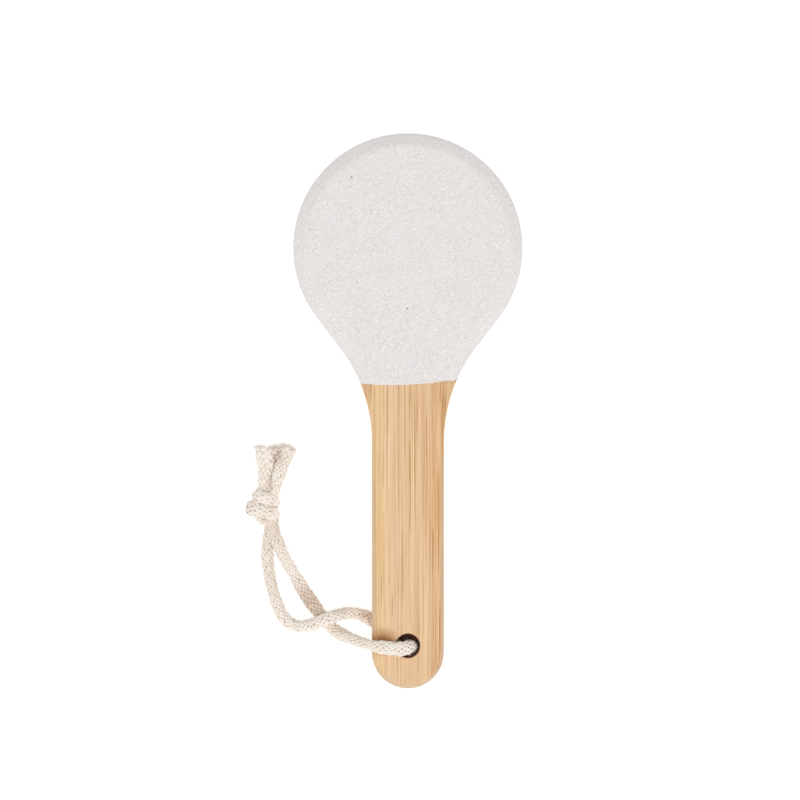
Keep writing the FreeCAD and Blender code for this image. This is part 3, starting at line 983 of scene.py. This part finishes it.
# %% Tones and marks, with places measured from the hole
STRIP_TONES = {
    "bamboo_strip_left_2": ((0.88, 0.625, 0.355), (0.72, 0.455, 0.215)),
    "bamboo_strip_left_1": ((0.88, 0.625, 0.390), (0.71, 0.450, 0.235)),
    "bamboo_strip_centre": ((0.88, 0.620, 0.375), (0.70, 0.440, 0.225)),
    "bamboo_strip_right_1": ((0.87, 0.600, 0.355), (0.68, 0.415, 0.205)),
    "bamboo_strip_right_2": ((0.80, 0.505, 0.262), (0.61, 0.335, 0.138)),
}
OTHER_TONES = [((0.83, 0.570, 0.335), (0.73, 0.47, 0.25)), ((0.80, 0.53, 0.30), (0.70, 0.43, 0.21))]
STRIP_SHIFT = (7.3, 3.1, 1.7)
LINE_SHADE = (0.775, 0.625, 0.490)
# Dark brown of the deep hole: mostly painted shade, on its wall and on the table under it, with some scorch
# from drilling on the wall
HOLE_SHADE = (0.200, 0.085, 0.048, 1.0)
HOLE_EDGE = (4.05 * MM, 4.30 * MM, 1.0, 0.0)
# Warm brown patch beside the hole: the cord's painted shadow on the wood, with its place and reach
CORD_SHADOW_TINT = (0.37, 0.148, 0.036, 1.0)
CORD_SHADOW_PLACE = (-8.6 * MM, 1.4 * MM)
CORD_SHADOW_REACH = (7.2 * MM, 6.2 * MM)
STREAKS = [
    ((10.2 * MM, 48.0 * MM), (3.0 * MM, 20.0 * MM), (0.66, 0.345, 0.125, 1.0), 0.55),
    ((-9.6 * MM, 38.0 * MM), (2.6 * MM, 22.0 * MM), (0.78, 0.500, 0.200, 1.0), 0.55),
]
MARK_FADE = (0.1, 1.0, 1.0, 0.0)
DULL_EDGE = (0.64, 0.55, 0.44, 1.0)
BEVEL_DULLNESS = (0.70, 0.98, 0.55, 0.0)
WALL_DULLNESS = (0.1, 0.5, 0.3, 1.0)
NECK_DULLNESS = (-36.0 * MM, -4.0 * MM, 1.0, 0.1)
WORN_END = (-90.0 * MM, -72.0 * MM, 0.45, 0.0)
BAMBOO_BUMP = (0.35, 0.05 * MM)
BAMBOO_SHINE = 0.35
print("strips with a tone of their own:", len(STRIP_TONES))


# %% One bamboo finish for each strip
def mark(coordinates, place, reach):
    """1 at a place in plan, measured from the hole, falling to 0 at its reach on each axis."""
    x, y = place
    return spread(distance(coordinates, HOLE.x + x, HOLE.y + y, reach), *MARK_FADE)


def bamboo(name, number, light, dark):
    """The finish of one strip."""
    material, tree, shader, coordinates = new_material(name)
    shift = [number * step for step in STRIP_SHIFT]
    line = (value * shade for value, shade in zip(dark, LINE_SHADE))
    group = add(tree, "Group", {"node_tree": fibre_group}, Vector=coordinates, Shift=shift,
                Light=(*light, 1.0), Dark=(*dark, 1.0), Line=(*line, 1.0))
    along = part(coordinates, "Y")
    worn = ((a + b) / 2 for a, b in zip(light, dark))
    tone = blend(spread(along, *WORN_END), out(group, "Color"), (*worn, 1.0))
    for place, reach, colour, strength in STREAKS:
        tone = blend(maths("MULTIPLY", mark(coordinates, place, reach), strength), tone, colour)
    # The bevels are mixed towards a duller, greyer tan by their slope, less towards the neck
    slope = maths("ABSOLUTE", facing_up(tree))
    edge = maths("MULTIPLY", spread(slope, *BEVEL_DULLNESS), spread(slope, *WALL_DULLNESS))
    tone = blend(maths("MULTIPLY", edge, spread(along, *NECK_DULLNESS)), tone, DULL_EDGE)
    upper_half = spread(part(coordinates, "Z"), board_middle, board_middle + MM)
    # The cord's painted shadow on the wood beside the hole, on the upper face only
    cord_shadow = maths("MULTIPLY", mark(coordinates, CORD_SHADOW_PLACE, CORD_SHADOW_REACH), upper_half)
    tone = blend(cord_shadow, tone, CORD_SHADOW_TINT)
    # The hole's wall is painted dark brown: mostly painted shade of the deep hole, with some scorch
    hole_shade_mask = spread(distance(coordinates, HOLE.x, HOLE.y), *HOLE_EDGE)
    plug(shader, BaseColor=blend(hole_shade_mask, tone, HOLE_SHADE), Roughness=out(group, "Roughness"),
         Normal=bump(out(group, "Height"), *BAMBOO_BUMP), SpecularIORLevel=BAMBOO_SHINE)
    return material


strip_names = [name for name in frame["nodes"] if name.startswith("bamboo_strip")]
for number, name in enumerate(sorted(strip_names)):
    light, dark = STRIP_TONES.get(name, OTHER_TONES[number % 2])
    wear(frame["nodes"][name], bamboo(name, number + 1, light, dark))
print("bamboo strips finished:", len(strip_names))

# %% [markdown]
# ## Abrasive
# The coat is pale and matt, warm and cool grains side by side, with a few dark ones. One flat colour would
# look like plaster, so the grains are cells of different tone, and finer noise breaks them up. The relief
# is already in the mesh, so the bump stays small. Two dark grains that catch the eye have places of their
# own.

# %% Grit finish
COARSE = (1600, 1600, 1600)
PATCHES = (150, 150, 150)
PATCH_SHIFT = (3, 1, 2)
CELLS = 1500.0
RARE_CELLS = 150.0
MIDDLE_NOISE = (0.3, 0.7)
GRIT_TONES = ((0.725, 0.685, 0.675, 1), (0.900, 0.865, 0.860, 1))
# Tints of the grains, one for each random value of a cell: range, strength and colour
GRAIN_TINTS = [
    ((0.0, 1.0, 0.0, 0.5), (0.84, 0.78, 0.745, 1)),
    ((0.88, 1.0, 0.0, 0.4), (0.60, 0.57, 0.565, 1)),
    ((0.90, 1.0, 0.0, 0.6), (0.95, 0.93, 0.93, 1)),
]
PATCH = (0.83, 0.80, 0.80, 1)
PATCH_SHARE = (0.35, 0.65, 0.0, 0.35)
DARK_GRAINS = [(-19.0 * MM, 78.9 * MM), (-0.1 * MM, 34.6 * MM)]
DARK_GRAIN = (0.14, 0.12, 0.12, 1)
GRAIN_EDGE = (0.20 * MM, 0.42 * MM, 0.8, 0.0)
SPECK = (0.16, 0.13, 0.12, 1)
SPECK_EDGE = (0.020, 0.045, 1.0, 0.0)
SPECK_SHARE = (0.965, 0.975)
GRIT_ROUGHNESS = (0.82, 0.95)
GRIT_BUMP = (0.25, 0.06 * MM)
GRIT_SHINE = 0.25


def abrasive():
    """The finish of the coat."""
    material, tree, shader, coordinates = new_material("abrasive_grit")
    coarse = noise(coordinates, COARSE, detail=3.0)
    patch = noise(coordinates, PATCHES, PATCH_SHIFT)
    cells = add(tree, "TexVoronoi", Vector=coordinates, Scale=CELLS)
    rare = add(tree, "TexVoronoi", Vector=coordinates, Scale=RARE_CELLS)
    tone = blend(spread(coarse, *MIDDLE_NOISE), *GRIT_TONES)
    for value, (share, tint) in zip(channels(out(cells, "Color")), GRAIN_TINTS):
        tone = blend(spread(value, *share), tone, tint)
    tone = blend(spread(patch, *PATCH_SHARE), tone, PATCH)
    for x, y in DARK_GRAINS:
        tone = blend(spread(distance(coordinates, x, y), *GRAIN_EDGE), tone, DARK_GRAIN)
    chosen = spread(channels(out(rare, "Color"))[0], *SPECK_SHARE)
    speck = maths("MULTIPLY", spread(out(rare, "Distance"), *SPECK_EDGE), chosen)
    plug(shader, BaseColor=blend(speck, tone, SPECK), SpecularIORLevel=GRIT_SHINE,
         Roughness=spread(coarse, *MIDDLE_NOISE, *GRIT_ROUGHNESS),
         Normal=bump(out(cells, "Distance"), *GRIT_BUMP))
    return material


grit = abrasive()
for piece in (front_coat, back_coat):
    wear(piece, grit)
print("abrasive finish on", front_coat.name, back_coat.name)

# %% [markdown]
# ## Cotton
# Undyed cotton is cream. The crowns of the yarns stay pale, and the hollows are painted in warmer, darker
# shade. Fine fibres run along each yarn: noise in the object's coordinates would cut across, so it uses the
# place along and round the yarn that the braid left on its mesh. Spots of painted shade darken the cord
# where it lies in shade. Deep in the hole the cord is painted in dark shade where it looks up or is shut in,
# and left clean below, where it shows under the handle.

# %% Cotton finish
THREAD_FIBRES = (420, 15, 1)
BLOTCHES = (260, 260, 260)
CROWN_TONES = ((0.935, 0.848, 0.748, 1), (1.0, 0.950, 0.882, 1))
# Tones of the painted shade in the hollows, darker and warmer than the crowns
HOLLOW_SHADE_TONES = ((0.42, 0.305, 0.205, 1), (0.57, 0.440, 0.315, 1))
HOLLOW_SHADE_DEPTH = (0.22, 0.72)
BLOTCH = (0.80, 0.70, 0.585, 1)
BLOTCH_SHARE = (0.35, 0.7, 0.0, 0.3)
# Tint of the painted shade from the spots
SPOT_SHADE_TINT = (0.74, 0.635, 0.575, 1.0)
# Dark tone of the painted shade on the cord deep in the hole
CORD_SHADE_IN_HOLE = (0.130, 0.058, 0.033, 1)
IN_HOLE = (4.4 * MM, 4.9 * MM, 1.0, 0.0)
LOOKING_UP = (-0.1, 0.25)
SHUT_IN = (2.4 * MM, 3.2 * MM)
OUT_OF_HOLE = (5.5 * MM, 8.8 * MM, 1.0, 0.0)
COTTON_ROUGHNESS = (0.80, 0.95)
COTTON_BUMP = (0.5, 0.08 * MM)
COTTON_SHINE = 0.2
COTTON_SHEEN = 0.15


def cotton():
    """The finish of the cord."""
    material, tree, shader, coordinates = new_material("cotton_yarn")
    thread = out(add(tree, "UVMap", {"uv_map": "thread"}), "UV")
    depth = out(add(tree, "Attribute", {"attribute_name": "depth"}), "Fac")
    spot_shade = out(add(tree, "Attribute", {"attribute_name": "spot_shade"}), "Fac")
    fibre = noise(thread, THREAD_FIBRES, detail=3.0)
    blotch = noise(coordinates, BLOTCHES)
    fibre_share = spread(fibre, *MIDDLE_NOISE)
    crown = blend(fibre_share, *CROWN_TONES)
    hollow_shade = blend(fibre_share, *HOLLOW_SHADE_TONES)
    # The hollows are painted in shade by their depth
    tone = blend(spread(depth, *HOLLOW_SHADE_DEPTH), crown, hollow_shade)
    tone = blend(spread(blotch, *BLOTCH_SHARE), tone, BLOTCH)
    # Painted shade from the spots darkens the cotton
    tone = blend(spot_shade, tone, SPOT_SHADE_TINT, "MULTIPLY")
    # Painted shade on the cord deep in the hole, where it looks up or is shut in
    height = part(coordinates, "Z")
    inside = spread(distance(coordinates, HOLE.x, HOLE.y), *IN_HOLE)
    shut_in = maths("MAXIMUM", spread(facing_up(tree), *LOOKING_UP), spread(height, *SHUT_IN))
    shaded_in_hole = maths("MULTIPLY", shut_in, spread(height, *OUT_OF_HOLE))
    tone = blend(maths("MULTIPLY", inside, shaded_in_hole), tone, CORD_SHADE_IN_HOLE)
    plug(shader, BaseColor=tone, Roughness=spread(fibre, *MIDDLE_NOISE, *COTTON_ROUGHNESS),
         Normal=bump(fibre, *COTTON_BUMP), SpecularIORLevel=COTTON_SHINE, SheenWeight=COTTON_SHEEN)
    return material


cotton_finish = cotton()
cord_pieces = [front_strand, back_strand, knot, left_tail, right_tail]
for piece in cord_pieces:
    wear(piece, cotton_finish)
print("cotton finish on", len(cord_pieces), "pieces")

# %% [markdown]
# ## Table
# Catalogue pictures are taken on a light table: a white sheet that glows a little, so that shadows on it
# wash out. A plain white floor would show a grey shadow round the file. The glow is switched off under the
# handle's end, a painted shadow there, and right under the hole the sheet is painted in the hole's dark
# shade, so that the hole looks deep.

# %% Light table
TABLE_SIZE = 12.0
TABLE_GLOW = 0.50
TABLE_GAP = 0.1 * MM
TABLE_ROUGHNESS = 0.9
SHEET = (0.8, 0.8, 0.8, 1)
BLACK = (0, 0, 0, 1)
WHITE = (1, 1, 1, 1)
# Edges of the painted shadow under the handle's end and of the painted shade under the hole, from the hole's
# axis
SHADOW_UNDER_HANDLE = (8.0 * MM, 11.0 * MM)
SHADE_UNDER_HOLE = (4.3 * MM, 5.0 * MM)


def light_table():
    """The finish of the table."""
    material, _, shader, coordinates = new_material("light_table")
    away = distance(coordinates, HOLE.x, HOLE.y)
    # Painted shadow: no glow under the handle's end; painted shade: a dark sheet right under the hole
    glow = blend(spread(away, *SHADOW_UNDER_HANDLE), BLACK, WHITE)
    sheet = blend(spread(away, *SHADE_UNDER_HOLE), HOLE_SHADE, SHEET)
    plug(shader, BaseColor=sheet, EmissionColor=glow, EmissionStrength=TABLE_GLOW,
         Roughness=TABLE_ROUGHNESS, SpecularIORLevel=0.0)
    return material


bpy.ops.object.select_all(action="DESELECT")
bpy.ops.mesh.primitive_plane_add(size=TABLE_SIZE, location=(0, 0, -TABLE_GAP))
table = bpy.context.active_object
table.name = "light_table"
bpy.ops.object.transform_apply(location=True)
wear(table, light_table())
print("table", round(table.dimensions.x, 2), "m wide")

# %% [markdown]
# ## Light
# A bare bulb would throw hard shadows that the picture doesn't have. A large soft lamp hangs overhead, a
# little towards the handle's end, so the rim is darker than the face and darkest at the top. A pale sky all
# round fills the rest. The standard view keeps white as white.

# %% Sky and lamp
SKY = 0.46
LAMP_POWER = 94.5
LAMP_SIZE = 2.7
LAMP_DISTANCE = 3.9
LAMP_HEIGHT = 74.0

sky = bpy.data.worlds.new("pale_sky")
sky.use_nodes = True
plug(sky.node_tree.nodes["Background"], Color=WHITE, Strength=SKY)
bpy.context.scene.world = sky

lamp_data = bpy.data.lights.new("soft_lamp", "AREA")
lamp_data.energy = LAMP_POWER
lamp_data.size = LAMP_SIZE
lamp = bpy.data.objects.new("soft_lamp", lamp_data)
tilt = math.radians(LAMP_HEIGHT)
lamp.location = (0.0, -LAMP_DISTANCE * math.cos(tilt), LAMP_DISTANCE * math.sin(tilt))
lamp.rotation_euler = (math.radians(90) - tilt, 0.0, 0.0)
bpy.context.collection.objects.link(lamp)

bpy.context.scene.view_settings.view_transform = "Standard"
bpy.context.scene.view_settings.look = "None"
print("lamp at", tuple(round(value, 3) for value in lamp.location))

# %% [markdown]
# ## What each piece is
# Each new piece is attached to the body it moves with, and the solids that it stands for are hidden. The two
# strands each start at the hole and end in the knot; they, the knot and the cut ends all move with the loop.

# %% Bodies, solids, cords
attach(front_coat, "paddle")
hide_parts("abrasive_coat_front")
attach(back_coat, "paddle")
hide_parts("abrasive_coat_back")
for piece in cord_pieces:
    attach(piece, "loop")
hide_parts("cord_front_strand")
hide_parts("cord_back_strand", "cord_in_hole")
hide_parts("cord_knot")
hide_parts("cord_tail_left")
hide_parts("cord_tail_right")


print("cords declared:", front_strand.name, back_strand.name)
